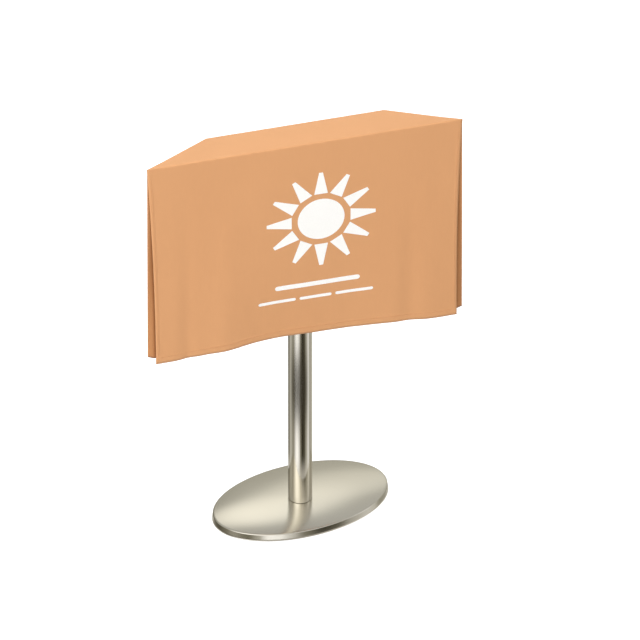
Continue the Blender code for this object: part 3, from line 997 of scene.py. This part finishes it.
def area_light(name, azimuth, elevation, distance, size, power, colour):
    """A round soft light aimed at the stand, seen by matt surfaces only."""
    data = bpy.data.lights.new(name, "AREA")
    data.shape = "DISK"
    data.size = size
    data.energy = power
    data.color = colour
    light = add_object(name, data)
    away = direction(math.radians(azimuth), math.radians(elevation))
    light.location = Vector((0.0, 0.0, LIGHT_AIM_Z)) + away * distance
    light.rotation_mode = "QUATERNION"
    light.rotation_quaternion = away.to_track_quat("Z", "Y")
    light.visible_camera = False
    light.visible_glossy = False


def build_floor():
    mesh = bpy.data.meshes.new("floor")
    corners = [(FLOOR_REACH * x, FLOOR_REACH * y, 0) for x, y in ((-1, -1), (1, -1), (1, 1), (-1, 1))]
    mesh.from_pydata(corners, [], [(0, 1, 2, 3)])
    floor = add_object("floor", mesh)
    n = Material("floor_paper")
    seen = n.add("ShaderNodeLightPath").outputs["Is Camera Ray"]
    n.set(Base_Color=(FLOOR_GREY, FLOOR_GREY, FLOOR_GREY, 1.0), Roughness=0.9, Specular_IOR_Level=0.0)
    n.set(Emission_Color=(1.0, 1.0, 1.0, 1.0), Emission_Strength=n.math("MULTIPLY", seen, FLOOR_GLOW))
    mesh.materials.append(n.material)
    floor.visible_glossy = False


def stage_card(card, n, alpha, glow):
    """Gives a card its see-through glowing material, and hides it from all but the metal."""
    colour, strength = glow
    n.set(Base_Color=(0.0, 0.0, 0.0, 1.0), Roughness=1.0, Specular_IOR_Level=0.0, Alpha=alpha)
    n.set(Emission_Color=(*colour, 1.0), Emission_Strength=strength)
    card.data.materials.append(n.material)
    card.visible_camera = False
    card.visible_diffuse = False
    card.visible_shadow = False


def build_dark_card():
    """A dark curved card below the floor: it breaks the post's highlight half-way up."""
    shares = [float(u) for u in np.linspace(0.0, 1.0, 41)]
    rows = []
    for z in DARK_CARD_HEIGHT:
        row = []
        for u in shares:
            a = math.radians(lerp(*DARK_CARD_SPAN, u)) - VIEW_TURN
            row.append(Vector((DARK_CARD_R * math.sin(a), -DARK_CARD_R * math.cos(a), z)))
        rows.append(row)
    card = sheet_object("flag_card", rows, [[(u, v) for u in shares] for v in (0.0, 1.0)])
    n = Material("flag_card")
    across, upward = (n.math("SINE", n.math("MULTIPLY", place, math.pi)) for place in n.flat_place())
    gain, most = DARK_CARD_SHADE
    shade = n.math("MULTIPLY", n.math("MULTIPLY", across, upward), gain)
    stage_card(card, n, n.math("MINIMUM", shade, most), DARK_CARD_GLOW)


def build_pale_card():
    """A pale ring below the floor round the base: it lights the foot of the post."""
    inner, outer = PALE_CARD_R
    radii = [float(r) for r in np.linspace(inner, outer, 6)]
    rows = [circle(r, PALE_CARD_Z, 96) for r in radii]
    uvs = [[(0.0, (r - inner) / (outer - inner))] * 96 for r in radii]
    card = sheet_object("pale_card", rows, uvs, around=True)
    n = Material("pale_card")
    alpha = n.spread(n.flat_place()[1], PALE_CARD_SHADE, 0.0, (PALE_CARD_FADE, 1.0))
    stage_card(card, n, alpha, PALE_CARD_GLOW)


def band_stops(bands):
    """Colour ramp stops for one of the tables of brightness."""
    green, blue = BAND_WARMTH
    stops = []
    for degrees, level in bands:
        stops.append(((degrees + 180) / 360, (level, min(level, level**green), min(level, level**blue))))
    return stops


def build_world():
    """White to the camera; to everything else a studio with soft bands of light and dark."""
    world = bpy.data.worlds.new("studio")
    bpy.context.scene.world = world
    world.use_nodes = True
    world.node_tree.nodes.clear()
    n = Nodes(world.node_tree)
    toward = n.add("ShaderNodeTexCoord").outputs["Generated"]
    x, y, z = n.split(toward)
    turn = n.math("DIVIDE", n.math("ARCTAN2", x, n.math("MULTIPLY", y, -1.0)), math.tau)
    share = n.math("FRACT", n.math("ADD", turn, 0.5 + VIEW_TURN / math.tau))
    belt_low, belt_high = (n.spread(z, 0.0, 1.0, ends, "SMOOTHSTEP") for ends in (BELT_LOWER, BELT_UPPER))
    general, rim = (n.ramp(share, band_stops(bands), "EASE") for bands in (BANDS, RIM_BANDS))
    bands = n.mix(n.math("SUBTRACT", belt_low, belt_high), general, rim)
    upward = n.spread(z, 0.0, 1.0, (0.0, UPPER_FADE), "SMOOTHSTEP")
    studio = n.add("ShaderNodeBackground")
    n.plug(n.mix(upward, bands, (UPPER_GREY, UPPER_GREY, UPPER_GREY, 1.0)), studio.inputs["Color"])
    lit = studio.outputs["Background"]
    for heading, rise, reach, core, level in GLOWS:
        aligned = n.add("ShaderNodeVectorMath", operation="DOT_PRODUCT")
        n.plug(toward, aligned.inputs[0])
        aligned.inputs[1].default_value = direction(math.radians(heading) - VIEW_TURN, math.radians(rise))
        ends = (math.cos(math.radians(reach)), math.cos(math.radians(core)))
        glow = n.add("ShaderNodeBackground")
        glow.inputs["Color"].default_value = (*WARM_WHITE, 1.0)
        n.plug(n.spread(aligned.outputs["Value"], 0.0, level, ends, "SMOOTHSTEP"), glow.inputs["Strength"])
        both = n.add("ShaderNodeAddShader")
        n.plug(lit, both.inputs[0])
        n.plug(glow.outputs["Background"], both.inputs[1])
        lit = both.outputs["Shader"]
    white = n.add("ShaderNodeBackground")
    white.inputs["Color"].default_value = (1.0, 1.0, 1.0, 1.0)
    choose = n.add("ShaderNodeMixShader")
    n.plug(n.add("ShaderNodeLightPath").outputs["Is Camera Ray"], choose.inputs["Fac"])
    n.plug(lit, choose.inputs[1])
    n.plug(white.outputs["Background"], choose.inputs[2])
    n.plug(choose.outputs["Shader"], n.add("ShaderNodeOutputWorld").inputs["Surface"])


# ---------------------------------------------------------------- putting it together


def give(obj, material):
    obj.data.materials.clear()
    obj.data.materials.append(material)


def dress_nodes(looks):
    """Gives every CAD node the look of its own name or else of its record slot."""
    for entry in frame["record"]["subparts"]:
        node = frame["nodes"][entry["node"]]
        material = looks.get(entry["node"]) or looks[entry["material_slot"]]
        if not node.data.materials:
            node.data.materials.append(material)
        for index in range(len(node.data.materials)):
            node.data.materials[index] = material


build_camera()
build_world()
build_floor()
build_dark_card()
build_pale_card()
for light_name, settings in LIGHTS.items():
    area_light(light_name, *settings)

cloth = cloth_material("peach_weave", *PEACH)
# The skirt's returns outside these folds take painted shade
skirt_cloth = cloth_material("peach_weave_skirt", *PEACH, folds=(SKIRT_FOLDS[0], SKIRT_FOLDS[3]))
thread = thread_material("peach_thread", THREAD)
white_ink = grained_material(
    "white_ink", *INK, rough=(0.6, 0.75), scale=900, detail=2.0, height=0.04 * MM, strength=0.4,
    Specular_IOR_Level=0.25,
)
polished = metal_material(
    "polished_nickel", *NICKEL, rough=(0.09, 0.15), grain=900, stretch=(1.0, 1.0, 0.03), patch_scale=14
)
rim_nickel = metal_material(
    "rim_nickel", *NICKEL, rough=(0.12, 0.18), grain=900, stretch=(0.2, 0.2, 1.0), patch_scale=14
)
satin = turned_material("satin_nickel", *SATIN_NICKEL)
zinc = metal_material(
    "zinc_plate", *ZINC, rough=(0.28, 0.45), grain=500, stretch=(1.0, 1.0, 0.3), patch_scale=160
)

canopy = build_canopy()
skirt = build_skirt()
front_stitching = build_front_stitches()
skirt_stitching = build_skirt_stitches()
front_print = build_print()
post = build_post()
plate = build_plate()

give(canopy, cloth)
give(skirt, skirt_cloth)
give(front_stitching, thread)
give(skirt_stitching, thread)
give(front_print, white_ink)
give(post, polished)
give(plate, satin)
plate.data.materials.append(rim_nickel)
for face in plate.data.polygons:
    if abs(face.normal.z) < RIM_SLOPE:
        face.material_index = 1
dress_nodes({
    "satin_nickel": satin,
    "polished_nickel": polished,
    "zinc_steel": zinc,
    "foam_rubber": grained_material(
        "foam_rubber", *FOAM, rough=(0.8, 0.95), scale=900, detail=3.0, height=0.2 * MM
    ),
    "acetal": grained_material("acetal", *ACETAL, rough=(0.35, 0.5), scale=500, detail=3.0, height=0.02 * MM),
    "plywood": wood_material("plywood_across", (0.08, 1.0, 1.0)),
    "left_rail": wood_material("plywood_side", (1.0, 0.08, 1.0)),
    "right_rail": wood_material("plywood_side_right", (1.0, 0.08, 1.0)),
    "hook_loop_tape": tape_material("hook_loop_tape", TAPE, 900),
    "peach_cloth": cloth,
})

for piece in (canopy, skirt, front_stitching, skirt_stitching, front_print):
    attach(piece, "cover")
for piece in (post, plate):
    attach(piece, "base")
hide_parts("cover_top", "cover_front")
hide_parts("cover_back", "cover_left", "cover_right", "corner_return_left", "corner_return_right")
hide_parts("post")
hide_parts("base_plate")

bpy.context.scene.view_settings.view_transform = "Standard"
